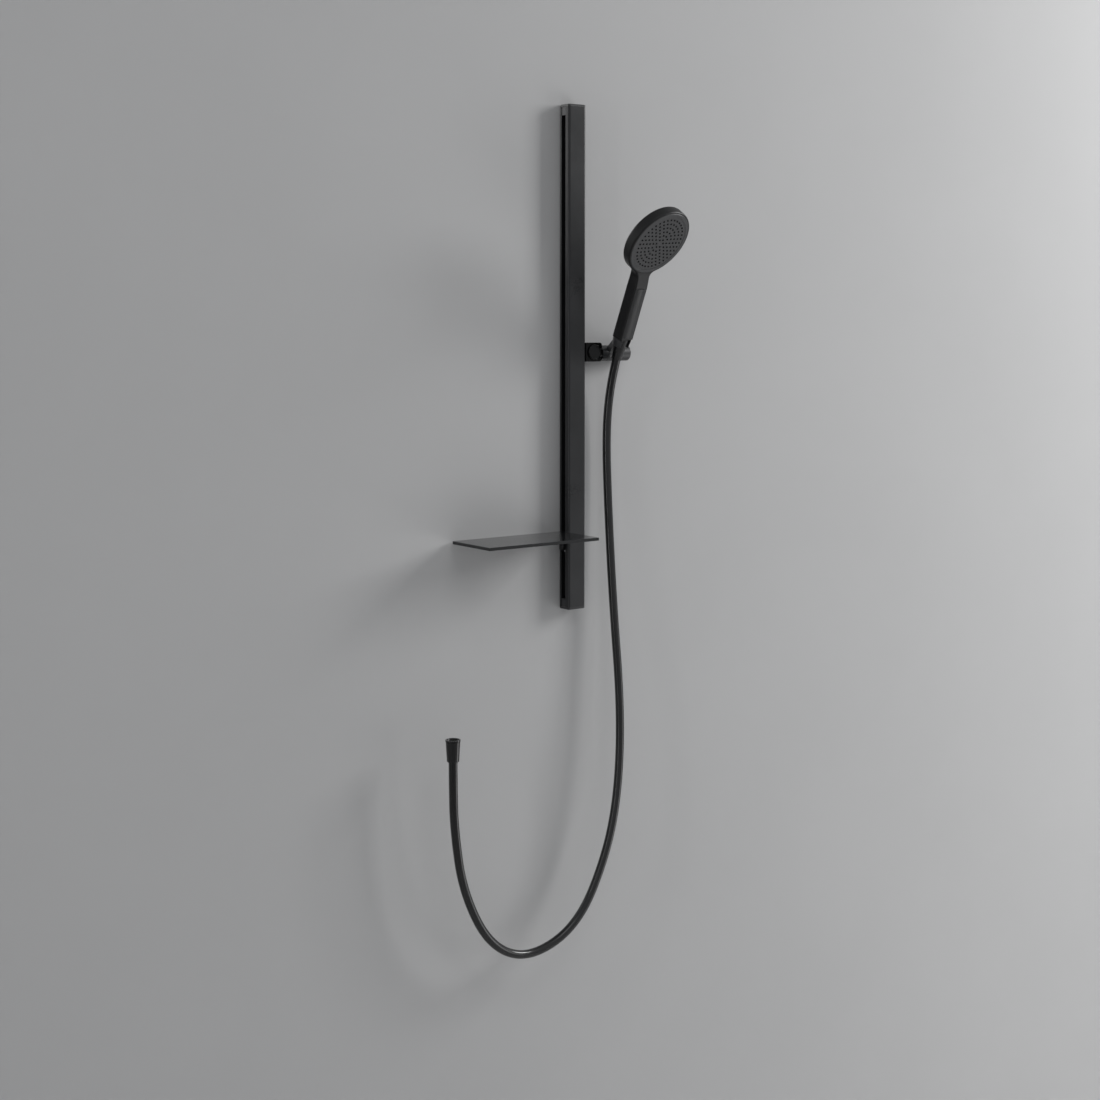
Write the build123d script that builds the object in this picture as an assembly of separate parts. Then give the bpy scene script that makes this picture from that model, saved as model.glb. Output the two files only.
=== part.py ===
from build123d import *
import os
from math import cos, radians, sin, tan

# Shower slide rail, in millimetres: X right along the wall, Y into the wall, Z up
# The origin is on the wall, midway between the two wall screws

# Clearances
slide_gap = 0.1
running_fit = 0.06
seat_gap = 0.02
side_gap = 0.4

# How far a cut runs past the face it opens, and how far joined solids overlap
over = 1
lap = 1

# Rail
rail_length = 850
rail_width = 36
rail_depth = 25
rail_edge_radius = 3.5
rail_back_radius = 0.6
rail_front_wall = 3.5
rail_back_wall = 3
rail_lip = 1.8
groove_back = 4.2
groove_width = 11.2
channel_width = 14
web_thickness = 2
end_plate = 4
end_tongue = 14
end_tongue_inset = 0.6
end_edge = 2

# Wall brackets
screw_inset = 45
screw_hole_radius = 2.75
screw_head_radius = 5.2
bracket_height = 40
bracket_depth = 16
grub_radius = 2
grub_length = 7
grub_rise = 10

# Slider
slider_z = 13
shoe_height = 44
pad_height = 16
pad_width = 7
pad_thickness = 2.4
shoe_screw_pitch = 25
shoe_screw_radius = 2
shoe_screw_head = 3.6
shoe_screw_reach = 9
shoe_screw_sink = 0.3
shoe_screw_head_height = 2.2
block_width = 34.8
block_height = 32
block_back = 2
block_front = 25.5
block_corner = 5
block_edge = 1
button_radius = 13
button_height = 11.5
button_proud = 3.4
button_skirt = 2.5
button_face = 3
button_edge = 1.2
button_bore_depth = 14.5
sleeve_radius = 6
sleeve_wall = 1.6
sleeve_seat = 4
button_shift = 0.5
base_root = 6

# Barrel and holder
barrel_radius = 13.5
barrel_y = -15
base_length = 13.5
washer_thickness = 1
barrel_length = 42
pivot_radius = 4
pivot_head_radius = 7
pivot_head = 4.5
pivot_grip = 16
hex_key_radius = 2.6
hex_key_depth = 3
friction_inset = 0.5
wave_inset = 0.8
wave_washer = 2
end_recess_radius = 9
end_recess = 9
end_cap_length = 5.5
end_cap_edge = 1.8
end_cap_edge_run = 2.9
end_cap_spigot = 1.5
holder_tilt = 24
handset_x = 72
handset_turn = 7
socket_offset = 27
socket_low = 27
socket_high = 41
socket_wall = 3
socket_flare = 0.6
arm_drop = 6
socket_slot = 16.4
cup_edge = 0.8
seat_past = 4
arm_width = 20

# Hose and its nuts
hose_radius = 7.25
hose_bore = 4.2
hose_lead = 54
hose_route = [
    (66.9, -18.9, -114.6),
    (70, -20.5, -240),
    (75.5, -29, -420),
    (84.5, -40.5, -600),
    (75.4, -47, -745),
    (45.3, -52.3, -855.8),
    (-19.9, -56.5, -968.3),
    (-125.7, -59, -1005.6),
    (-209, -61.3, -964.9),
    (-263.3, -63.1, -860.4),
    (-280.5, -64.8, -750),
    (-282, -65, -680),
]
nut_low = 2
nut_high = 42
nut_low_radius = 8.4
nut_high_radius = 12.4
nut_edge = 0.5
thread_radius = 9.32
upper_thread_depth = 16
stem_flange = 2
stem_length = 18
stem_wall = 1
seal_thickness = 2
seal_hole = 5.5
flange_inset = 0.4
hose_bend_share = 0.45
lower_nut_top = -604.5
lower_nut_length = 36
lower_nut_top_radius = 12
lower_nut_bottom_radius = 10.1
lower_thread_depth = 10
lower_relief = 4
lower_relief_radius = 9.9
lower_collar_height = 3
lower_collar_radius = 12.4
ferrule_wall = 0.6
ferrule_length = 24

# Hand shower
handle_low_half = 15
handle_high_half = 14.6
handle_front = 11.5
handle_back = 11.5
head_w = 222
head_radius = 62
head_thickness = 19
head_bend = 13
face_forward = 22.5
neck_length = 24
neck_bend = 30
neck_fillet = 15
neck_lap = 8
back_edge = 4
front_edge = 3
cover_low = 46
cover_short = 2
cover_low_half = 11.6
cover_high_half = 11.2
cover_corner = 3
cover_crown_radius = 30
cover_crown_rise = 2.2
cover_thickness = 2
cover_gap = 0.15
pocket_wall = 3.2
pocket_depth = 8
chamber_wall = 10
chamber_depth = 12
ring_width = 6.3
plate_thickness = 3
mat_margin = 6.2
nozzle_radius = 1.25
nozzle_height = 1.3
nozzle_rings = 6
nozzles_a_ring = 6
nozzle_sides = 8
nozzle_taper = 18
ring_proud = 0.4
ring_edge = 0.6
plate_holes = 12
plate_hole_radius = 3
plate_ring_share = 0.6
water_bore = 4.2
neck_bore = 3.2
water_y = 2.2
water_tube_wall = 1
water_tube_short = 4
water_entry = 5
cut_past = 20
solid_reach = 80
nipple_spigot = 8.4
nipple_spigot_high = 58
nipple_bore = 4.5
limiter_height = 5
limiter_wall = 1.5
limiter_hole = 1.6
nipple_entry = 1

# Shelf
shelf_left = -240
shelf_front = -110
shelf_back = -3
shelf_rise = 133.5
shelf_thickness = 5
shelf_corner = 1.2
shelf_edge = 0.4
foot_height = 26
foot_arm = 42
foot_plate = 4
clamp_screw_radius = 2.5
clamp_screw_length = 19
clamp_screw_proud = 4
clamp_pad_short = 2
plate_screw_radius = 2
plate_screw_head = 3.8
plate_screw_head_height = 2.2
plate_screw_cover = 1.5
plate_screw_pitch = 17
plate_screw_inset = 8

# Sizes that follow from the ones above
half_width = rail_width / 2
profile_half = rail_length / 2 - end_plate
screw_spacing = rail_length - 2 * screw_inset
web_outer = channel_width / 2 + web_thickness
lip_inner = half_width - rail_lip
chamber_front = -rail_depth + rail_front_wall
groove_front = -groove_back - groove_width
groove_mid = -groove_back - groove_width / 2
block_left = half_width + side_gap
block_right = block_left + block_width
block_low = slider_z - block_height / 2
barrel_z = block_low + barrel_radius
button_x = (block_left + block_right) / 2 - button_shift
seam_x = block_right + base_length
holder_left = seam_x + washer_thickness
holder_right = holder_left + barrel_length
recess_floor = holder_right - end_recess
pocket_radius = head_radius - pocket_wall
chamber_radius = head_radius - chamber_wall
ring_inner = pocket_radius - ring_width
mat_radius = ring_inner - slide_gap
nozzle_pitch = (mat_radius - mat_margin) / nozzle_rings
shelf_right = -half_width - side_gap
shelf_top = -rail_length / 2 + shelf_rise
foot_top = shelf_top - shelf_thickness


def save(name, shape):
    export_step(shape, "parts/" + name + ".step")


def block(x0, x1, y0, y1, z0, z1):
    return Pos((x0 + x1) / 2, (y0 + y1) / 2, (z0 + z1) / 2) * Box(x1 - x0, y1 - y0, z1 - z0)


def rod_x(radius, x0, x1, y, z):
    return Pos((x0 + x1) / 2, y, z) * Rot(0, 90, 0) * Cylinder(radius, x1 - x0)


def rod_y(radius, y0, y1, x, z):
    return Pos(x, (y0 + y1) / 2, z) * Rot(90, 0, 0) * Cylinder(radius, y1 - y0)


def rod_z(radius, z0, z1, x=0, y=0):
    return Pos(x, y, (z0 + z1) / 2) * Cylinder(radius, z1 - z0)


def cone_z(low, high, z0, z1, x=0, y=0):
    return Pos(x, y, (z0 + z1) / 2) * Cone(low, high, z1 - z0)


def flat(x0, x1, y0, y1):
    return Pos((x0 + x1) / 2, (y0 + y1) / 2) * Rectangle(x1 - x0, y1 - y0)


os.makedirs("parts", exist_ok=True)

# Rail: an extrusion with a T groove on each side and a channel in its back for the wall brackets
outer = flat(-half_width, half_width, -rail_depth, 0)
outer = fillet(outer.vertices().group_by(Axis.Y)[0], rail_edge_radius)
outer = fillet(outer.vertices().group_by(Axis.Y)[-1], rail_back_radius)
chamber = flat(web_outer, lip_inner, chamber_front, -rail_back_wall)
mouth = flat(lip_inner - lap, half_width + over, groove_front, -groove_back)
groove = chamber + mouth
channel = flat(-channel_width / 2, channel_width / 2, chamber_front, over)
section = outer - groove - mirror(groove, about=Plane.YZ) - channel
rail = Pos(0, 0, -profile_half) * extrude(section, 2 * profile_half)
screw_heights = [-screw_spacing / 2, screw_spacing / 2]
for z in screw_heights:
    rail -= rod_x(grub_radius + seat_gap, -web_outer - over, 0, groove_mid, z + grub_rise)
save("rail_profile", rail)

# End caps: a plate over the rail's end, with two tongues that plug the ends of the grooves
fit_chamber = [chamber_front + slide_gap, -rail_back_wall - slide_gap]
fit_mouth = [groove_front + slide_gap, -groove_back - slide_gap]
tongue_chamber = flat(web_outer + seat_gap, lip_inner - seat_gap, *fit_chamber)
tongue_mouth = flat(lip_inner - lap, half_width - end_tongue_inset, *fit_mouth)
tongue = Pos(0, 0, profile_half - end_tongue) * extrude(tongue_chamber + tongue_mouth, end_tongue)
plate = Pos(0, 0, profile_half) * extrude(outer, end_plate)
plate_edges = plate.faces().sort_by(Axis.Z)[-1].edges()
plate = fillet(plate_edges.filter_by(lambda e: e.center().Y < -rail_back_radius), end_edge)
top_cap = plate + tongue + mirror(tongue, about=Plane.YZ)
save("top_end_cap", top_cap)
save("bottom_end_cap", mirror(top_cap, about=Plane.XY))

# Wall brackets: blocks in the back channel, each with a hole for the wall screw and a grub screw
grub_tip = -web_outer + grub_length
sink = screw_head_radius - screw_hole_radius
countersink = Rot(-90, 0, 0) * Cone(screw_head_radius, screw_hole_radius, sink)
bracket_sides = [-channel_width / 2, channel_width / 2 - slide_gap, -bracket_depth, 0]
grubs = []
for name, z in zip(["lower_wall_bracket", "upper_wall_bracket"], screw_heights):
    z0 = z - bracket_height / 2
    bracket = block(*bracket_sides, z0, z0 + bracket_height)
    bracket -= rod_y(screw_hole_radius, -bracket_depth - over, over, 0, z)
    bracket -= Pos(0, -bracket_depth + sink / 2, z) * countersink
    bracket -= rod_x(grub_radius + seat_gap, -web_outer, grub_tip, groove_mid, z + grub_rise)
    save(name, bracket)
    grubs.append(rod_x(grub_radius, -web_outer, grub_tip, groove_mid, z + grub_rise))
save("grub_screws", Compound(children=grubs))

# Runner shoe: the T piece that slides in the right groove
shoe_low = slider_z - shoe_height / 2
shoe_inner = flat(web_outer + slide_gap, lip_inner - slide_gap, *fit_chamber)
shoe_neck = flat(lip_inner - lap, block_left, *fit_mouth)
shoe = Pos(0, 0, shoe_low) * extrude(shoe_inner + shoe_neck, shoe_height)
pad_left = web_outer + slide_gap / 2
pad_right = pad_left + pad_thickness
pad_box = [pad_left, pad_right, groove_mid - pad_width / 2, groove_mid + pad_width / 2]
pad = block(*pad_box, slider_z - pad_height / 2, slider_z + pad_height / 2)
shoe -= pad
screw_head_left = web_outer + slide_gap + shoe_screw_sink
screw_head_right = screw_head_left + shoe_screw_head_height
screw_end = block_left + shoe_screw_reach
shoe_screws = []
screw_room = Part()
for z in [slider_z - shoe_screw_pitch / 2, slider_z + shoe_screw_pitch / 2]:
    head = rod_x(shoe_screw_head, screw_head_left, screw_head_right, groove_mid, z)
    shank = rod_x(shoe_screw_radius, screw_head_right, screw_end, groove_mid, z)
    shoe_screws.append(head + shank)
    screw_room += rod_x(shoe_screw_head + slide_gap, web_outer, screw_head_right, groove_mid, z)
    screw_room += rod_x(shoe_screw_radius + seat_gap, web_outer, screw_end, groove_mid, z)
save("runner_shoe", shoe - screw_room)
save("brake_pad", pad)
save("shoe_screws", Compound(children=shoe_screws))

# Housing: the block beside the rail, with the button's bore and the barrel's fixed base
housing = block(block_left, block_right, -block_front, -block_back, block_low, block_low + block_height)
corners = housing.edges().filter_by(Axis.Y).group_by(Axis.X)[-1]
housing = fillet(corners, block_corner)
front_face = housing.faces().sort_by(Axis.Y)[0]
housing = fillet(front_face.edges(), block_edge)
housing += rod_x(barrel_radius, block_right - base_root, seam_x, barrel_y, barrel_z)
bore_floor = -block_front + button_bore_depth
bore_front = barrel_y - barrel_radius - over
housing -= rod_y(button_radius + running_fit, bore_front, bore_floor, button_x, slider_z)
housing -= rod_y(sleeve_radius + slide_gap, bore_floor - over, bore_floor + sleeve_seat, button_x, slider_z)
housing -= rod_x(pivot_radius + seat_gap, seam_x - pivot_grip, seam_x + over, barrel_y, barrel_z)
save("slider_housing", housing - screw_room)

# Release button: a cap that slides in the bore against a rubber sleeve
button_front = -block_front - button_proud
button = rod_y(button_radius, button_front, button_front + button_height, button_x, slider_z)
button = chamfer(button.faces().sort_by(Axis.Y)[0].edges(), button_edge)
hollow = button_radius - button_skirt
button -= rod_y(hollow, button_front + button_face, button_front + button_height + over, button_x, slider_z)
save("release_button", button)
sleeve_front = button_front + button_face
sleeve_end = bore_floor + sleeve_seat
sleeve = rod_y(sleeve_radius, sleeve_front, sleeve_end, button_x, slider_z)
sleeve -= rod_y(sleeve_radius - sleeve_wall, sleeve_front - over, sleeve_end + over, button_x, slider_z)
save("return_sleeve", sleeve)

# Pivot: a bolt through the holder into the housing, with a friction washer and a wave washer
head_left = recess_floor + wave_washer
bolt = rod_x(pivot_radius, seam_x - pivot_grip, head_left, barrel_y, barrel_z)
bolt += rod_x(pivot_head_radius, head_left, head_left + pivot_head, barrel_y, barrel_z)
hex_prism = extrude(RegularPolygon(hex_key_radius, 6), hex_key_depth)
bolt -= Pos(head_left + pivot_head - hex_key_depth, barrel_y, barrel_z) * Rot(0, 90, 0) * hex_prism
save("pivot_bolt", bolt)
washer_hole = pivot_radius + slide_gap
friction = rod_x(barrel_radius - friction_inset, seam_x, holder_left, barrel_y, barrel_z)
friction -= rod_x(washer_hole, seam_x - over, holder_left + over, barrel_y, barrel_z)
save("friction_washer", friction)
wave = rod_x(end_recess_radius - wave_inset, recess_floor, head_left, barrel_y, barrel_z)
wave -= rod_x(washer_hole, recess_floor - over, head_left + over, barrel_y, barrel_z)
save("wave_washer", wave)

# Holder frame: its origin is on the barrel's axis, and the hand shower stands upright in front of it
holder_place = Pos(0, barrel_y, barrel_z) * Rot(holder_tilt, 0, 0)
handset_place = holder_place * Pos(handset_x, -socket_offset, 0) * Rot(0, 0, handset_turn)
nut_slope = (nut_high_radius - nut_low_radius) / (nut_high - nut_low)
seat_low = nut_low_radius + nut_slope * (socket_low - nut_low) + seat_gap
seat_high = nut_low_radius + nut_slope * (socket_high - nut_low) + seat_gap

# Holder: the turning barrel, an arm and a cone socket with a slot in front for the hose
holder = rod_x(barrel_radius, holder_left, holder_right, 0, 0)
arm_top = socket_high - arm_drop
cup_back = -socket_offset + seat_high + socket_wall
arm_low = socket_low + lap
arm_back = [(0, barrel_radius - lap), (cup_back, arm_top), (-socket_offset, arm_top)]
arm_front = [(-socket_offset, arm_low), (cup_back - 2 * lap, arm_low), (-barrel_radius + 3 * lap, 0)]
arm_side = Polyline(*arm_back, *arm_front, close=True)
arm_face = make_face(Plane.YZ * arm_side)
holder += Pos(holder_left + side_gap, 0, 0) * extrude(arm_face, arm_width)
cup_low = seat_low + socket_wall
cup_high = seat_high + socket_wall + socket_flare
cup = cone_z(cup_low, cup_high, socket_low, socket_high, handset_x, -socket_offset)
holder += chamfer(cup.edges(), cup_edge)
seat_under = seat_low - nut_slope * seat_past
seat_over = seat_high + nut_slope * seat_past
seat_span = [socket_low - seat_past, socket_high + seat_past]
holder -= cone_z(seat_under, seat_over, *seat_span, handset_x, -socket_offset)
slot_front = -socket_offset - cup_high - over
slot_box = [handset_x - socket_slot / 2, handset_x + socket_slot / 2, slot_front, -socket_offset]
holder -= block(*slot_box, *seat_span)
holder -= rod_x(pivot_radius + running_fit, holder_left - over, holder_right, 0, 0)
holder -= rod_x(end_recess_radius, recess_floor, holder_right + over, 0, 0)
save("holder", holder_place * holder)
cap = rod_x(barrel_radius, holder_right, holder_right + end_cap_length, 0, 0)
cap = chamfer(cap.faces().sort_by(Axis.X)[-1].edges(), end_cap_edge, end_cap_edge_run)
cap += rod_x(end_recess_radius - seat_gap, holder_right - end_cap_spigot, holder_right + lap, 0, 0)
save("holder_end_cap", holder_place * cap)

# Upper nut and the pieces inside it, on the hand shower's axis
thread_floor = nut_high - upper_thread_depth
upper_nut = cone_z(nut_low_radius, nut_high_radius, nut_low, nut_high)
upper_nut = chamfer(upper_nut.edges().group_by(Axis.Z)[0], nut_edge)
upper_nut -= rod_z(thread_radius, thread_floor, nut_high + over)
upper_nut -= rod_z(hose_radius + seat_gap, nut_low - over, thread_floor + over)
save("upper_cone_nut", handset_place * upper_nut)
stem_hole = hose_bore - stem_wall
flange_radius = thread_radius - flange_inset
stem = rod_z(flange_radius, thread_floor, thread_floor + stem_flange)
stem += rod_z(hose_bore - seat_gap, thread_floor - stem_length, thread_floor + lap)
stem -= rod_z(stem_hole, thread_floor - stem_length - over, thread_floor + stem_flange + over)
save("upper_hose_stem", handset_place * stem)
upper_seal_low = thread_floor + stem_flange
upper_seal = rod_z(flange_radius, upper_seal_low, upper_seal_low + seal_thickness)
upper_seal -= rod_z(seal_hole, upper_seal_low - over, upper_seal_low + seal_thickness + over)
save("upper_seal", handset_place * upper_seal)

# Inlet nipple: threaded into the nut below and plugged into the handle above, with a flow limiter inside
nipple_low = upper_seal_low + seal_thickness
nipple = rod_z(thread_radius - seat_gap, nipple_low, nut_high)
nipple += rod_z(nipple_spigot, nut_high - nipple_entry, nipple_spigot_high)
limiter_high = nipple_low + limiter_height
limiter_radius = nipple_bore + limiter_wall
nipple -= rod_z(nipple_bore, nipple_low - over, nipple_spigot_high + over)
nipple -= rod_z(limiter_radius + seat_gap, nipple_low - over, limiter_high)
save("inlet_nipple", handset_place * nipple)
limiter = rod_z(limiter_radius, nipple_low, limiter_high)
limiter -= rod_z(limiter_hole, nipple_low - over, limiter_high + over)
save("flow_limiter", handset_place * limiter)

# Hand shower shell: the front outline, drawn in the face's plane, and the side outline cut each other
bend = radians(head_bend)
face_y = -face_forward
rim_w = head_w - head_radius * cos(bend)
neck_w = rim_w - neck_length
cover_high = neck_w - cover_short
rim_y = face_y + (head_w - rim_w) * tan(bend)
top_w = head_w + head_radius + cut_past
face_top = face_y - (top_w - head_w) * tan(bend)
behind = head_thickness / cos(bend)
face_plane = Plane(origin=(0, face_y, head_w), x_dir=(1, 0, 0), z_dir=(0, -cos(bend), -sin(bend)))
face_place = face_plane.location
handle_end = nut_high - head_w - cut_past
neck_end = -head_radius + neck_lap
handle_points = [(-handle_low_half, handle_end), (handle_low_half, handle_end)]
neck_points = [(handle_high_half, neck_end), (-handle_high_half, neck_end)]
outline = make_face(Polyline(*handle_points, *neck_points, close=True)) + Circle(head_radius)
outline = fillet(outline.vertices().group_by(Axis.Y)[1], neck_fillet)
front_line = [(-handle_front, nut_high), (-handle_front, neck_w), (rim_y, rim_w), (face_top, top_w)]
back_line = [(face_top + behind, top_w), (rim_y + behind, rim_w)]
handle_line = [(handle_back, neck_w), (handle_back, nut_high)]
side = make_face(Polyline(*front_line, *back_line, *handle_line, close=True))
side_rows = side.vertices().group_by(Axis.Y)
side = fillet(side_rows[1] + side_rows[2], neck_bend)
front_form = extrude(face_plane * outline, solid_reach, both=True)
side_form = extrude(Plane.YZ * side, solid_reach, both=True)
shell = front_form & side_form


def depth_of(edge):
    w = edge.center().Z
    if w < neck_w:
        return edge.center().Y
    return edge.center().Y - face_y + (w - head_w) * tan(bend) - behind / 2


def rim_edges(shape):
    along = shape.edges().filter_by(lambda e: e.center().Z > nut_high + 1)
    along = along.filter_by(lambda e: abs(e.tangent_at(0.5).Y) < 0.9)
    return along.filter_by(lambda e: abs(e.center().X) > 1 or e.length > head_radius)


shell = fillet(rim_edges(shell).filter_by(lambda e: depth_of(e) > 0), back_edge)
shell = fillet(rim_edges(shell).filter_by(lambda e: depth_of(e) < -2), front_edge)

# Handle front cover: a thin cover let into the handle's front
cover_points = [(-cover_low_half, cover_low), (cover_low_half, cover_low)]
cover_points += [(cover_high_half, cover_high), (-cover_high_half, cover_high)]
cover_outline = fillet(make_face(Polyline(*cover_points, close=True)).vertices(), cover_corner)
cover_floor = -handle_front + cover_thickness
cover_ahead = -handle_front - cut_past
cover_layer = block(-handle_low_half, handle_low_half, cover_ahead, cover_floor, nut_high, neck_w)
crown_y = -handle_front - cover_crown_rise + cover_crown_radius
crown = rod_z(cover_crown_radius, nut_high, neck_w, 0, crown_y)
cover = extrude(Plane.XZ * cover_outline, solid_reach, both=True) & cover_layer & crown
room_outline = offset(cover_outline, cover_gap)
cover_room = extrude(Plane.XZ * room_outline, solid_reach, both=True) & cover_layer
save("handle_front_cover", handset_place * cover)

# Shell openings: the cover's recess, the face's pocket and chamber, the water bore and the nipple's hole
shell -= cover_room
shell -= face_place * rod_z(pocket_radius, -pocket_depth, cut_past)
shell -= face_place * rod_z(chamber_radius, -chamber_depth, 0)
bore_top = head_w - (chamber_radius - water_entry) * cos(bend)
shell -= rod_z(water_bore, nipple_spigot_high - over, neck_w, 0, water_y)
shell -= rod_z(neck_bore, neck_w - over, bore_top, 0, water_y)
shell -= rod_z(nipple_spigot + seat_gap, nut_high - over, nipple_spigot_high)
save("handset_shell", handset_place * shell)
water_tube_high = neck_w - water_tube_short
tube = rod_z(water_bore - seat_gap, nipple_spigot_high, water_tube_high, 0, water_y)
tube -= rod_z(water_bore - water_tube_wall, nipple_spigot_high - over, water_tube_high + over, 0, water_y)
save("water_tube", handset_place * tube)

# Spray face: a distributor plate on the pocket's ledge, then the nozzle mat inside the face ring
plate_top = -pocket_depth + plate_thickness
water_hole = extrude(RegularPolygon(plate_hole_radius, nozzle_sides), cut_past, both=True)
distributor = rod_z(pocket_radius - slide_gap, -pocket_depth, plate_top)
distributor -= PolarLocations(mat_radius * plate_ring_share, plate_holes) * water_hole
save("distributor_plate", handset_place * face_place * distributor)
ring = rod_z(pocket_radius - slide_gap, plate_top, ring_proud)
ring = chamfer(ring.edges().group_by(Axis.Z)[-1], ring_edge)
ring -= rod_z(ring_inner, plate_top - over, ring_proud + over)
save("face_ring", handset_place * face_place * ring)
mat = rod_z(mat_radius, plate_top, 0)
nozzle = extrude(RegularPolygon(nozzle_radius, nozzle_sides), nozzle_height, taper=nozzle_taper)
for ring_number in range(1, nozzle_rings + 1):
    nozzle_places = PolarLocations(ring_number * nozzle_pitch, ring_number * nozzles_a_ring)
    mat += nozzle_places * nozzle
save("nozzle_mat", handset_place * face_place * mat)

# Hose: straight runs joined by tangent arcs, from the upper nut round the loop to the lower nut
lower_floor = lower_nut_top - lower_thread_depth - lower_relief
lower_x, lower_y = hose_route[-1][:2]
start = (handset_place * Pos(0, 0, thread_floor)).position
lead = (handset_place * Pos(0, 0, thread_floor - hose_lead)).position
finish = Vector(lower_x, lower_y, lower_floor)
points = [start, lead] + [Vector(*p) for p in hose_route] + [finish]
radii = []
for before, at, after in zip(points, points[1:], points[2:]):
    turn = (at - before).get_angle(after - at)
    shorter = min((at - before).length, (after - at).length)
    radii.append(hose_bend_share * shorter / tan(radians(turn) / 2))
path = FilletPolyline(*points, radius=radii)
mouth_plane = Plane(origin=start, z_dir=lead - start)
hose = sweep(mouth_plane * Circle(hose_radius), path)
hose -= handset_place * rod_z(hose_bore, thread_floor - stem_length - over, thread_floor + over)
hose -= rod_z(hose_bore, lower_floor - stem_length - over, lower_floor + over, lower_x, lower_y)
save("hose", hose)

# Lower nut: a cone nut that turns freely on the hose's ferrule, with a seal at the bottom of its thread
lower_place = Pos(lower_x, lower_y, 0)
ferrule_radius = hose_radius + ferrule_wall
nut_bottom = lower_nut_top - lower_nut_length
lower_nut = cone_z(lower_nut_bottom_radius, lower_nut_top_radius, nut_bottom, lower_nut_top)
lower_nut += rod_z(lower_collar_radius, lower_nut_top - lower_collar_height, lower_nut_top)
lower_nut = chamfer(lower_nut.edges().group_by(Axis.Z)[0], nut_edge)
lower_nut -= rod_z(thread_radius, lower_floor + over, lower_nut_top + over)
lower_nut -= rod_z(lower_relief_radius, lower_floor, lower_floor + lower_relief)
lower_nut -= rod_z(ferrule_radius + running_fit, nut_bottom - over, lower_floor + over)
save("lower_cone_nut", lower_place * lower_nut)
lower_stem = rod_z(flange_radius, lower_floor, lower_floor + stem_flange)
lower_stem += rod_z(hose_bore - seat_gap, lower_floor - stem_length, lower_floor + lap)
lower_stem -= rod_z(stem_hole, lower_floor - stem_length - over, lower_floor + stem_flange + over)
save("lower_hose_stem", lower_place * lower_stem)
ferrule = rod_z(ferrule_radius, lower_floor - ferrule_length, lower_floor)
ferrule -= rod_z(hose_radius + seat_gap, lower_floor - ferrule_length - over, lower_floor + over)
save("lower_ferrule", lower_place * ferrule)
lower_seal_low = lower_floor + stem_flange
lower_seal = rod_z(flange_radius, lower_seal_low, lower_seal_low + seal_thickness)
lower_seal -= rod_z(seal_hole, lower_seal_low - over, lower_seal_low + seal_thickness + over)
save("lower_seal", lower_place * lower_seal)

# Shelf: a flat plate on a bracket whose T foot clamps in the left groove
shelf = block(shelf_left, shelf_right, shelf_front, shelf_back, foot_top, shelf_top)
shelf = fillet(shelf.edges().filter_by(Axis.Z), shelf_corner)
shelf = chamfer(shelf.faces().sort_by(Axis.Z)[-1].edges(), shelf_edge)
foot_low = foot_top - foot_height
leg_left = shelf_right - foot_plate
foot_inner = mirror(shoe_inner, about=Plane.YZ)
foot_neck = flat(leg_left, -lip_inner + lap, *fit_mouth)
foot = Pos(0, 0, foot_low) * extrude(foot_inner + foot_neck, foot_height)
foot_arm_left = shelf_right - foot_arm
arm_under = foot_top - foot_plate
foot += block(foot_arm_left, leg_left + lap, *fit_mouth, arm_under, foot_top)
screw_x = -(web_outer + lip_inner) / 2
screw_low = foot_low - clamp_screw_proud
screw_high = screw_low + clamp_screw_length
clamp_screw = rod_z(clamp_screw_radius, screw_low, screw_high, screw_x, groove_mid)
foot -= rod_z(clamp_screw_radius + seat_gap, foot_low - over, screw_high, screw_x, groove_mid)
pad_sides = [-pad_right, -pad_left, groove_mid - pad_width / 2, groove_mid + pad_width / 2]
clamp_pad = block(*pad_sides, screw_high + over, foot_top - clamp_pad_short)
foot -= clamp_pad
plate_screws = []
first_x = foot_arm_left + plate_screw_inset
screw_top = shelf_top - plate_screw_cover
for x in [first_x, first_x + plate_screw_pitch]:
    shank = rod_z(plate_screw_radius, arm_under - lap, screw_top, x, groove_mid)
    head = rod_z(plate_screw_head, arm_under - plate_screw_head_height, arm_under, x, groove_mid)
    shelf -= rod_z(plate_screw_radius + seat_gap, foot_top - over, screw_top, x, groove_mid)
    foot -= rod_z(plate_screw_radius + seat_gap, arm_under - over, foot_top + over, x, groove_mid)
    plate_screws.append(shank + head)
save("shelf_plate", shelf)
save("shelf_bracket", foot)
save("shelf_clamp_pad", clamp_pad)
save("shelf_clamp_screw", clamp_screw)
save("shelf_plate_screws", Compound(children=plate_screws))
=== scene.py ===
import bmesh
import bpy
from math import cos, pi, radians, sin, tau
from mathutils import Matrix, Vector


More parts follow.
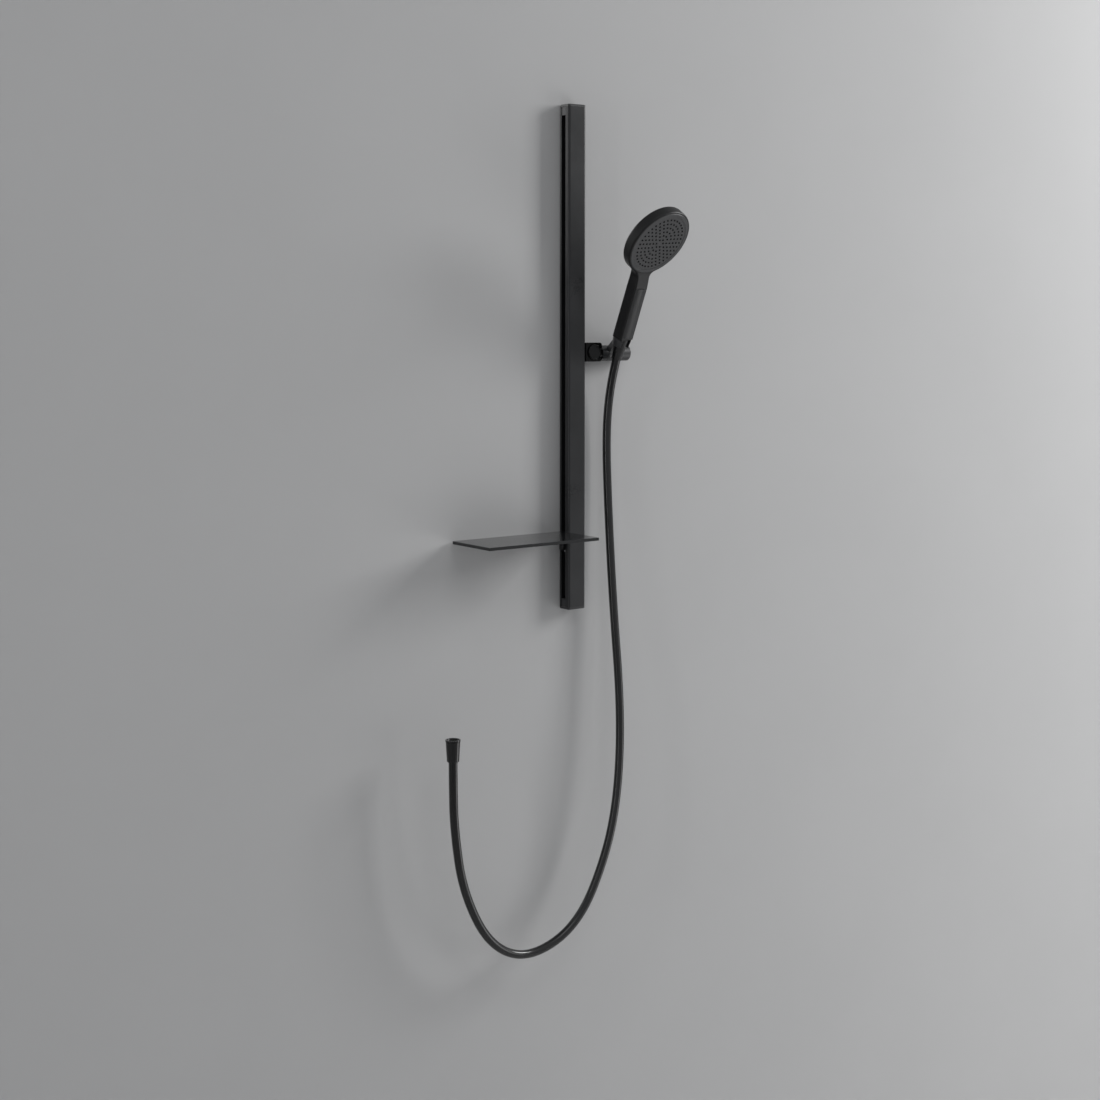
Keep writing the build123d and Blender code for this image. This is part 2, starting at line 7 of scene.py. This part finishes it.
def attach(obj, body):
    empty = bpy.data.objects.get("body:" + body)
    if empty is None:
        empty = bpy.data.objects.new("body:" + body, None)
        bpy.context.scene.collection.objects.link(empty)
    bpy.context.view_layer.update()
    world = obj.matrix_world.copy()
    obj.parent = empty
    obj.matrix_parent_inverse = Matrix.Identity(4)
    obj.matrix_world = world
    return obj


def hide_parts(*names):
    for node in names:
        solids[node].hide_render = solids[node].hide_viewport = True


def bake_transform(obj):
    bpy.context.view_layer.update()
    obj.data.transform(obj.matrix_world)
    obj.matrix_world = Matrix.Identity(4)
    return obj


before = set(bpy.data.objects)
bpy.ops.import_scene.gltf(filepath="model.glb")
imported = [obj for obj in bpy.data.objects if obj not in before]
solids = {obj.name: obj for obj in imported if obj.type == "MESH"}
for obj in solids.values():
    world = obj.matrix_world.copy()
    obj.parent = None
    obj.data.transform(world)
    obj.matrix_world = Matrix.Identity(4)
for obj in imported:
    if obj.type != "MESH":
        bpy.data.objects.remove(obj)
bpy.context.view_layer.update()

# Rail: one length of extruded aluminium with a T groove down each side and a channel in its back.
# It is powder coated in satin black, whose fine orange peel breaks up the long reflections.
# Two brackets in the back channel hold it on the wall.


def add_sockets(group, direction, sockets):
    for name, kind, value in sockets:
        socket = group.interface.new_socket(name=name, in_out=direction, socket_type="NodeSocket" + kind)
        if value is not None:
            socket.default_value = value


def add_node(tree, kind, links=(), **settings):
    node = tree.nodes.new("ShaderNode" + kind)
    for key, value in settings.items():
        setattr(node, key, value)
    for name, source in dict(links).items():
        if isinstance(source, bpy.types.NodeSocket):
            tree.links.new(source, node.inputs[name])
        else:
            node.inputs[name].default_value = source
    return node


# The coat's effect: tiny grain in the surface, a slow drift of tone and gloss, and edges that round over.
coat = bpy.data.node_groups.new("fine_coat", "ShaderNodeTree")
coat_inputs = [("Colour", "Color", None), ("Tone", "Float", 0.15)]
coat_inputs += [("Roughness", "Float", 0.4), ("Drift", "Float", 0.1)]
coat_inputs += [("Grain", "Float", 1800.0), ("Depth", "Float", 0.00002), ("Edge", "Float", 0.0003)]
add_sockets(coat, "INPUT", coat_inputs)
coat_outputs = [("Colour", "Color", None), ("Roughness", "Float", None), ("Normal", "Vector", None)]
add_sockets(coat, "OUTPUT", coat_outputs)
given = coat.nodes.new("NodeGroupInput").outputs
place = add_node(coat, "TexCoord").outputs["Object"]
slow_cloud = {"Vector": place, "Scale": 11.0, "Detail": 5.0, "Roughness": 0.6}
broad = add_node(coat, "TexNoise", slow_cloud).outputs["Fac"]
both_ways = {"Value": broad, "From Min": 0.3, "From Max": 0.7, "To Min": -1.0}
swing = add_node(coat, "MapRange", both_ways).outputs["Result"]
toned = add_node(coat, "Math", {0: swing, 1: given["Tone"], 2: 1.0}, operation="MULTIPLY_ADD").outputs[0]
colour = add_node(coat, "VectorMath", {0: given["Colour"], "Scale": toned}, operation="SCALE").outputs[0]
fine = add_node(coat, "TexNoise", {"Vector": place, "Scale": given["Grain"], "Detail": 2.0}).outputs["Fac"]
speck = add_node(coat, "Math", {0: fine, 1: 0.5}, operation="SUBTRACT").outputs[0]
mixed = add_node(coat, "Math", {0: swing, 1: 0.5, 2: speck}, operation="MULTIPLY_ADD").outputs[0]
drifting = {0: mixed, 1: given["Drift"], 2: given["Roughness"]}
gloss = add_node(coat, "Math", drifting, operation="MULTIPLY_ADD").outputs[0]
rounded = add_node(coat, "Bevel", {"Radius": given["Edge"]}, samples=4).outputs["Normal"]
bump = {"Height": fine, "Distance": given["Depth"], "Normal": rounded, "Strength": 1.0}
surface = add_node(coat, "Bump", bump).outputs["Normal"]
taken = coat.nodes.new("NodeGroupOutput").inputs
for name, source in (("Colour", colour), ("Roughness", gloss), ("Normal", surface)):
    coat.links.new(source, taken[name])


def coated(name, colour, effect, **sockets):
    """A finish with the coat's effect, whose values and the shader's own sockets are given by name."""
    finish = bpy.data.materials.new(name)
    finish.use_nodes = True
    tree = finish.node_tree
    shader = tree.nodes["Principled BSDF"]
    layer = tree.nodes.new("ShaderNodeGroup")
    layer.node_tree = coat
    layer.inputs["Colour"].default_value = (*colour, 1)
    for key, value in effect.items():
        layer.inputs[key].default_value = value
    for output, socket in (("Colour", "Base Color"), ("Roughness", "Roughness"), ("Normal", "Normal")):
        tree.links.new(layer.outputs[output], shader.inputs[socket])
    for key, value in sockets.items():
        shader.inputs[key.replace("_", " ")].default_value = value
    return finish


def dress(finish, *names):
    for name in names:
        solids[name].material_slots[0].material = finish


rail_effect = {"Roughness": 0.32, "Grain": 1500, "Edge": 0.0004}
rail_coat = coated("rail_coat", (0.014, 0.0144, 0.0156), rail_effect, Specular_IOR_Level=0.36)
dress(rail_coat, "rail_profile")

# End caps: moulded plugs that close the rail's two ends, with tongues that fill the ends of the grooves.
# They are dark grey plastic with a fine spark-eroded grain, a shade lighter than the coat.
cap_effect = {"Roughness": 0.42, "Grain": 2600, "Depth": 0.00004}
cap_plastic = coated("cap_plastic", (0.0135, 0.0138, 0.015), cap_effect)
dress(cap_plastic, "top_end_cap", "bottom_end_cap")

# Wall brackets and grub screws: die cast blocks inside the back channel, each on one wall screw.
# The grub screws reach them through the groove and lock the rail; the metal is left plain.
bracket_effect = {"Roughness": 0.45, "Grain": 900, "Tone": 0.2}
bracket_metal = coated("bracket_metal", (0.42, 0.42, 0.43), bracket_effect, Metallic=1)
steel_effect = {"Roughness": 0.3, "Grain": 1200, "Depth": 0.00001}
screw_steel = coated("screw_steel", (0.5, 0.5, 0.51), steel_effect, Metallic=1)
dress(bracket_metal, "upper_wall_bracket", "lower_wall_bracket")
dress(screw_steel, "grub_screws")

# Shelf: a flat aluminium plate, coated half gloss black, on a bracket whose foot clamps in the groove.
# A screw presses the rubber pad against the rail, and two button head screws hold the plate from below.
shelf_effect = {"Roughness": 0.13, "Drift": 0.05, "Depth": 0.000003}
shelf_coat = coated("shelf_coat", (0.008, 0.0083, 0.009), shelf_effect)
bracket_black = coated("bracket_black", (0.01, 0.01, 0.0108), {"Roughness": 0.25, "Grain": 1500})
pad_rubber = coated("pad_rubber", (0.02, 0.02, 0.02), {"Roughness": 0.7, "Grain": 3000, "Depth": 0.00004})
dress(shelf_coat, "shelf_plate")
dress(bracket_black, "shelf_bracket")
dress(pad_rubber, "shelf_clamp_pad")


def span(node):
    """The lowest and the highest corner of a node, in the frame."""
    points = [solids[node].matrix_world @ vertex.co for vertex in solids[node].data.vertices]
    return Vector(map(min, zip(*points))), Vector(map(max, zip(*points)))


def turn_up(mesh, profile, sides, material, middle=(0, 0)):
    """Turns (radius, height) pairs round an upright line. A radius can follow the angle, and 0 closes it."""
    rows = []
    for radius, height in profile:
        row = []
        for side in range(sides if radius else 1):
            angle = tau * side / sides
            reach = radius(angle) if callable(radius) else radius
            x = middle[0] + reach * cos(angle)
            y = middle[1] + reach * sin(angle)
            row.append(mesh.verts.new((x, y, height)))
        rows.append(row)
    for low, high in zip(rows, rows[1:]):
        for side in range(sides):
            after = (side + 1) % sides
            below = [low[side % len(low)], low[after % len(low)]]
            above = [high[after % len(high)], high[side % len(high)]]
            face = mesh.faces.new(list(dict.fromkeys(below + above)))
            face.material_index = material
            face.smooth = True


def finish_piece(mesh, name, node, body, slot, *finishes, placed=Matrix()):
    """Makes the piece that stands in for a node, on the body of that node; the slot argument is not used."""
    made = bpy.data.meshes.new(name)
    mesh.to_mesh(made)
    mesh.free()
    made.transform(placed)
    made.set_sharp_from_angle(angle=radians(40))
    for finish in finishes:
        made.materials.append(finish)
    piece = bpy.data.objects.new(name, made)
    bpy.context.scene.collection.objects.link(piece)
    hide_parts(node)
    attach(piece, body)
    return piece


key_across = 0.0025


def key_socket(angle):
    """The outline of the socket for a hexagon key."""
    return key_across / 2 / cos(angle % (tau / 6) - tau / 12)


plate_low, plate_high = span("shelf_plate_screws")
head = (plate_high.y - plate_low.y) / 2
head_edge = 0.0006
head_height = 0.0022
head_socket = 0.0013
shank = 0.002
head_top = plate_low.z + head_height
socket_floor = plate_low.z + head_socket
head_line = [(0, socket_floor), (key_socket, socket_floor), (key_socket, plate_low.z)]
head_line += [(head - head_edge, plate_low.z), (head, plate_low.z + head_edge), (head, head_top)]
head_line += [(shank, head_top), (shank, plate_high.z), (0, plate_high.z)]
plate_screws = bmesh.new()
for screw_x in (plate_low.x + head, plate_high.x - head):
    turn_up(plate_screws, head_line, 24, 0, (screw_x, plate_low.y + head))
finish_piece(plate_screws, "plate_screws", "shelf_plate_screws", "shelf", "screw_steel", screw_steel)
clamp_low, clamp_high = span("shelf_clamp_screw")
clamp = (clamp_high.y - clamp_low.y) / 2
clamp_edge = 0.0005
clamp_socket = 0.0018
socket_floor = clamp_low.z + clamp_socket
clamp_line = [(0, socket_floor), (key_socket, socket_floor), (key_socket, clamp_low.z)]
clamp_line += [(clamp - clamp_edge, clamp_low.z), (clamp, clamp_low.z + clamp_edge)]
clamp_line += [(clamp, clamp_high.z - clamp_edge), (clamp - clamp_edge, clamp_high.z), (0, clamp_high.z)]
clamp_screw = bmesh.new()
turn_up(clamp_screw, clamp_line, 24, 0, (clamp_low.x + clamp, clamp_low.y + clamp))
finish_piece(clamp_screw, "clamp_screw", "shelf_clamp_screw", "shelf", "screw_steel", screw_steel)

# Runner: the T shoe that slides in the right groove, with a rubber brake pad and two screws to the housing.
# The shoe is a slippery grey moulding; all of it is hidden inside the groove.
runner_plastic = coated("runner_plastic", (0.12, 0.12, 0.125), {"Roughness": 0.4, "Grain": 1200})
dress(runner_plastic, "runner_shoe", "friction_washer")
dress(pad_rubber, "brake_pad", "return_sleeve")
dress(screw_steel, "shoe_screws", "pivot_bolt", "wave_washer")

# Housing and release button: black mouldings beside the rail; the round button lets the brake go.
# The housing carries the fixed half of the barrel, which has the holder's greyer coat as far as the seam;
# this lighter grey is also painted light where the hand shower and arm shade the barrel.
# The button's rim is rounded over and shiny, so that a crescent of light runs round its edge.
block_black = (0.0015, 0.0015, 0.0018, 1)
barrel_grey = (0.026, 0.0265, 0.028, 1)
barrel_base = 0.0135
barrel_start = span("slider_housing")[1].x - barrel_base
slider_gloss = coated("slider_gloss", block_black[:3], {"Roughness": 0.24, "Drift": 0.05, "Depth": 0.000004})
slider_tree = slider_gloss.node_tree
spot = add_node(slider_tree, "TexCoord").outputs["Object"]
along = add_node(slider_tree, "SeparateXYZ", {"Vector": spot}).outputs["X"]
on_barrel = add_node(slider_tree, "Math", {0: along, 1: barrel_start}, operation="GREATER_THAN").outputs[0]
# Painted light: past the seam the barrel gets a lighter grey than the block, standing in for light where the
# hand shower and arm shade it.
tones = {"Factor": on_barrel, 6: block_black, 7: barrel_grey}
coat_grey_and_painted_light = add_node(slider_tree, "Mix", tones, data_type="RGBA").outputs[2]
shines = {"Value": on_barrel, "To Min": 0.14, "To Max": 0.5}
shine = add_node(slider_tree, "MapRange", shines).outputs["Result"]
slider_tree.links.new(coat_grey_and_painted_light, slider_tree.nodes["Group"].inputs["Colour"])
slider_tree.links.new(shine, slider_tree.nodes["Principled BSDF"].inputs["Specular IOR Level"])
button_effect = {"Roughness": 0.14, "Drift": 0.04, "Depth": 0.000003, "Edge": 0.0014}
button_gloss = coated("button_gloss", (0.0015, 0.0015, 0.0018), button_effect, Specular_IOR_Level=0.25)
dress(slider_gloss, "slider_housing")
dress(button_gloss, "release_button")

# Holder: the turning barrel with its cone socket, closed by a cap at the right end.
# It is plastic under a satin dark coat, finer and greyer than the housing beside it.
holder_effect = {"Roughness": 0.34, "Grain": 2000, "Depth": 0.00001}
holder_coat = coated("holder_coat", barrel_grey[:3], holder_effect)
dress(holder_coat, "holder", "holder_end_cap")

# Hand shower: a one-piece moulded shell under a satin black coat, with a cover let into the handle's front.
# Inside are the inlet nipple, the flow limiter, the water tube and the distributor plate.
handset_effect = {"Roughness": 0.4, "Grain": 2200, "Depth": 0.00001}
handset_coat = coated("handset_coat", (0.0052, 0.0054, 0.006), handset_effect, Specular_IOR_Level=0.3)
cover_coat = coated("cover_coat", (0.0085, 0.0088, 0.0096), handset_effect, Specular_IOR_Level=0.45)
inner_plastic = coated("inner_plastic", (0.3, 0.3, 0.3), {"Roughness": 0.45, "Grain": 1500})
fitting_brass = coated("fitting_brass", (0.62, 0.42, 0.17), {"Roughness": 0.28, "Grain": 1100}, Metallic=1)
dress(handset_coat, "handset_shell")
dress(cover_coat, "handle_front_cover")
dress(inner_plastic, "flow_limiter", "water_tube", "distributor_plate")
dress(fitting_brass, "inlet_nipple")

# Spray face: a satin face ring round a soft mat, whose nozzles stand in rings round the middle.
# Each nozzle is a small tapered nub of black silicone on a flat foot, with its jet hole in the tip.
face_satin = coated("face_satin", (0.03, 0.0305, 0.033), {"Roughness": 0.4, "Grain": 2400, "Depth": 0.00001})
rubber_effect = {"Roughness": 0.5, "Grain": 4000}
nozzle_rubber = coated("nozzle_rubber", (0.0015, 0.0015, 0.0017), rubber_effect, Specular_IOR_Level=0.2)
dress(face_satin, "face_ring")
barrel_at = (0, -0.015, 0.0105)
holder_tilt = radians(24)
handset_at = (0.072, -0.027, 0)
handset_turn = radians(7)
face_at = (0, -0.0225, 0.222)
face_lean = radians(103)
barrel_axis = Matrix.Translation(barrel_at) @ Matrix.Rotation(holder_tilt, 4, "X")
handset_axis = barrel_axis @ Matrix.Translation(handset_at) @ Matrix.Rotation(handset_turn, 4, "Z")
face_place = handset_axis @ Matrix.Translation(face_at) @ Matrix.Rotation(face_lean, 4, "X")
mat_radius = 0.0524
mat_depth = 0.005
mat_edge = 0.0002
nozzle_rings = 6
nozzle_pitch = 0.0077
mat = bmesh.new()
mat_line = [(0, -mat_depth), (mat_radius, -mat_depth), (mat_radius, -mat_edge)]
mat_line += [(mat_radius - mat_edge, 0), (0, 0)]
turn_up(mat, mat_line, 96, 0)
nub = [(0.00205, -0.0001), (0.002, 0.00006), (0.0015, 0.00008)]
nub += [(0.00135, 0.0003), (0.0012, 0.0008), (0.00105, 0.0012)]
nub += [(0.0008, 0.00132), (0.00055, 0.00128), (0.00042, 0.001), (0.0004, 0.0004), (0, 0.0004)]
for ring in range(1, nozzle_rings + 1):
    out = nozzle_pitch * ring
    for step in range(6 * ring):
        angle = tau * step / (6 * ring)
        turn_up(mat, nub, 12, 1, (out * cos(angle), out * sin(angle)))
mat_finishes = (face_satin, nozzle_rubber)
finish_piece(mat, "spray_mat", "nozzle_mat", "holder", "nozzle_rubber", *mat_finishes, placed=face_place)

# Nuts and end fittings: turned brass cones, coated black like the rail, over brass stems and rubber seals.
# The upper nut sits in the holder's socket. The lower one turns freely on its ferrule, under a collar.
nut_effect = {"Roughness": 0.2, "Drift": 0.06, "Depth": 0.000005}
nut_black = coated("nut_black", (0.0055, 0.0056, 0.0062), nut_effect)
dress(nut_black, "upper_cone_nut", "lower_ferrule")
dress(fitting_brass, "upper_hose_stem", "lower_hose_stem")
dress(pad_rubber, "upper_seal", "lower_seal")
nut_low, nut_high = span("lower_cone_nut")
collar = (nut_high.x - nut_low.x) / 2
collar_low = nut_high.z - 0.003
collar_edge = 0.0003
mouth_edge = 0.0004
groove_depth = 0.0004
groove_height = 0.0006
nut_edge = 0.0005
cone_low = 0.0101
cone_high = 0.01184
ferrule_bore = 0.00791
thread_crest = 0.00932
thread_root = 0.0099
thread_pitch = 0.001814
thread_mouth = nut_high.z - 0.0006
thread_floor = nut_high.z - 0.014
turns = 5
rows_a_turn = 12


def thread_at(height):
    """The thread's outline at a height: a ridge that climbs one pitch in each turn."""

    def reach(angle):
        flank = abs(2 * ((height / thread_pitch - angle / tau) % 1) - 1)
        return thread_crest + (thread_root - thread_crest) * min(1, max(0, 1.5 * flank - 0.25))

    return reach


groove = cone_high - groove_depth
nut_line = [(ferrule_bore, thread_floor), (ferrule_bore, nut_low.z), (cone_low - nut_edge, nut_low.z)]
nut_line += [(cone_low, nut_low.z + nut_edge), (cone_high, collar_low - groove_height)]
nut_line += [(groove, collar_low - groove_height / 2), (groove, collar_low)]
nut_line += [(collar - collar_edge, collar_low), (collar, collar_low + collar_edge)]
nut_line += [(collar, nut_high.z - mouth_edge)]
nut_line += [(collar - mouth_edge, nut_high.z), (thread_root + mouth_edge, nut_high.z)]
for row in range(turns * rows_a_turn + 1):
    thread_z = thread_mouth - thread_pitch * row / rows_a_turn
    nut_line.append((thread_at(thread_z), thread_z))
nut_line += [(thread_root, thread_z - thread_pitch / 2), (thread_root, thread_floor)]
nut_line += [(ferrule_bore, thread_floor)]
nut_mesh = bmesh.new()
turn_up(nut_mesh, nut_line, 72, 0, (nut_low.x + collar, nut_low.y + collar))
lower_nut = finish_piece(nut_mesh, "lower_nut", "lower_cone_nut", "hose_nut", "nut_black", nut_black)

# Hose: a smooth black plastic sheath over a braided tube, crimped on its end fittings.
# It hangs from the hand shower in one loop and comes up again to its lower nut.
hose_radius = 0.00725
hose_route = [
    (0.072, -0.05024, 0.02327),
    (0.072, -0.02828, -0.02606),
    (0.0669, -0.0189, -0.1146),
    (0.07, -0.0205, -0.24),
    (0.0755, -0.029, -0.42),
    (0.0845, -0.0405, -0.6),
    (0.0754, -0.047, -0.745),
    (0.0453, -0.0523, -0.8558),
    (-0.0199, -0.0565, -0.9683),
    (-0.1257, -0.059, -1.0056),
    (-0.209, -0.0613, -0.9649),
    (-0.2633, -0.0631, -0.8604),
    (-0.2805, -0.0648, -0.75),
    (-0.282, -0.065, -0.68),
    (-0.282, -0.065, -0.6185),
]
line = bpy.data.curves.new("hose_line", "CURVE")
line.dimensions = "3D"
line.resolution_u = 28
spline = line.splines.new("NURBS")
spline.points.add(len(hose_route) - 1)
for point, at in zip(spline.points, hose_route):
    point.co = (*at, 1)
spline.order_u = 3
spline.use_endpoint_u = True
guide = bpy.data.objects.new("hose_line", line)
centre_line = [v.co.copy() for v in bpy.data.meshes.new_from_object(guide).vertices]
bpy.data.objects.remove(guide)


def tube_along(name, centres, radius, sides):
    """A closed round tube whose rings turn with the line and never twist."""
    mesh = bmesh.new()
    rings = []
    ahead = (centres[1] - centres[0]).normalized()
    across = ahead.orthogonal().normalized()
    for index, middle in enumerate(centres):
        following = centres[min(index + 1, len(centres) - 1)] - centres[max(index - 1, 0)]
        turn = ahead.rotation_difference(following.normalized())
        ahead = following.normalized()
        across = (turn @ across).normalized()
        beside = ahead.cross(across)
        angles = [tau * side / sides for side in range(sides)]
        rings.append([mesh.verts.new(middle + radius * (cos(a) * across + sin(a) * beside)) for a in angles])
    for low, high in zip(rings, rings[1:]):
        for side in range(sides):
            after = (side + 1) % sides
            mesh.faces.new((low[side], low[after], high[after], high[side])).smooth = True
    mesh.faces.new(rings[0][::-1])
    mesh.faces.new(rings[-1])
    made = bpy.data.meshes.new(name)
    mesh.to_mesh(made)
    mesh.free()
    piece = bpy.data.objects.new(name, made)
    bpy.context.scene.collection.objects.link(piece)
    return piece


hose = tube_along("hose_sheath", centre_line, hose_radius, 32)
sheath_effect = {"Roughness": 0.2, "Drift": 0.06, "Depth": 0.000006}
hose_sheath = coated("hose_sheath", (0.005, 0.0051, 0.0056), sheath_effect)
hose.data.materials.append(hose_sheath)
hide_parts("hose")
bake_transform(hose)

# Stage: a pale wall that the rail hangs on, a pale floor below, and a pale surround for the other views.
# The wall is seen only from its front and casts no shadow, so that the back of the rail stays in the light.
wall_gap = 0.0006
floor_z = -1.8
reach = 7.0


def stage_plane(name, centre, turn, tone):
    bpy.ops.mesh.primitive_plane_add(size=2 * reach, location=centre, rotation=turn)
    plane = bpy.context.object
    plane.name = name
    plane.visible_shadow = False
    paint = bpy.data.materials.new(name + "_paint")
    paint.use_nodes = True
    tree = paint.node_tree
    shader = tree.nodes["Principled BSDF"]
    shader.inputs["Roughness"].default_value = 0.9
    shader.inputs["Specular IOR Level"].default_value = 0.1
    spot = add_node(tree, "TexCoord").outputs["Object"]
    cloud = add_node(tree, "TexNoise", {"Vector": spot, "Scale": 3.0, "Detail": 3.0}).outputs["Fac"]
    tones = {"Value": cloud, "To Min": tone * 0.97, "To Max": tone * 1.03}
    bright = add_node(tree, "MapRange", tones).outputs["Result"]
    tree.links.new(bright, shader.inputs["Base Color"])
    behind = add_node(tree, "NewGeometry").outputs["Backfacing"]
    clear = add_node(tree, "BsdfTransparent").outputs["BSDF"]
    shown = add_node(tree, "MixShader", {0: behind, 1: shader.outputs["BSDF"], 2: clear}).outputs["Shader"]
    tree.links.new(shown, tree.nodes["Material Output"].inputs["Surface"])
    plane.data.materials.append(paint)


stage_plane("wall", (0, wall_gap, floor_z + reach), (pi / 2, 0, 0), 0.52)
stage_plane("floor", (0, 0, floor_z), (0, 0, 0), 0.6)
world = bpy.data.worlds.new("surround")
bpy.context.scene.world = world
world.use_nodes = True
sky = world.node_tree
soft = sky.nodes["Background"]
soft.inputs["Color"].default_value = (0.5, 0.51, 0.53, 1)
soft.inputs["Strength"].default_value = 0.5
pale = add_node(sky, "Background", {"Color": (0.55, 0.56, 0.57, 1), "Strength": 1.0}).outputs[0]
rays = add_node(sky, "LightPath").outputs
straight = {0: rays["Is Camera Ray"], 1: rays["Is Transmission Ray"]}
through = add_node(sky, "Math", straight, operation="MAXIMUM").outputs[0]
seen = add_node(sky, "Math", {0: through, 1: rays["Is Glossy Ray"]}, operation="MAXIMUM").outputs[0]
both = add_node(sky, "MixShader", {0: seen, 1: soft.outputs[0], 2: pale}).outputs[0]
sky.links.new(both, sky.nodes["World Output"].inputs["Surface"])


def soft_box(name, place, aim, width, height, power):
    """A soft studio lamp at a place, turned to a point."""
    lamp = bpy.data.lights.new(name, "AREA")
    lamp.shape = "RECTANGLE"
    lamp.size = width
    lamp.size_y = height
    lamp.energy = power
    box = bpy.data.objects.new(name, lamp)
    bpy.context.scene.collection.objects.link(box)
    box.location = place
    box.rotation_euler = (Vector(aim) - Vector(place)).to_track_quat("-Z", "Y").to_euler()


soft_box("key_right", (3.2, -1.5, 1.2), (0, 0, -0.1), 1.0, 1.6, 85)
soft_box("strip_left", (-3.2, -0.9, 0.1), (0, 0, -0.2), 0.1, 2.6, 10)
soft_box("low_right", (2.2, -1.7, -1.3), (0.1, -0.1, 0.2), 1.2, 1.2, 10)
soft_box("top_front", (-0.4, -2.4, 2.6), (0, 0, -0.2), 2.0, 1.2, 14)
soft_box("back_left", (-1.6, 2.6, 1.4), (0, 0, -0.2), 1.6, 1.6, 45)
soft_box("back_right", (2.0, 2.4, 0.2), (0, 0, -0.3), 1.4, 1.8, 30)

# Camera: stands to the left of the rail, a little above its middle, and looks slightly down along the wall.
camera_place = (-1.8987, -2.5044, 0.0968)
camera_yaw = radians(36.6)
camera_pitch = radians(5.9)
lens_mm = 60.45
camera = bpy.data.objects.new("camera", bpy.data.cameras.new("camera"))
bpy.context.scene.collection.objects.link(camera)
camera.location = camera_place
level = cos(camera_pitch)
look = Vector((sin(camera_yaw) * level, cos(camera_yaw) * level, -sin(camera_pitch)))
camera.rotation_euler = look.to_track_quat("-Z", "Y").to_euler()
camera.data.lens = lens_mm
camera.data.sensor_width = 36
camera.data.shift_y = -0.0515
bpy.context.scene.camera = camera
bpy.context.scene.view_settings.view_transform = "Standard"
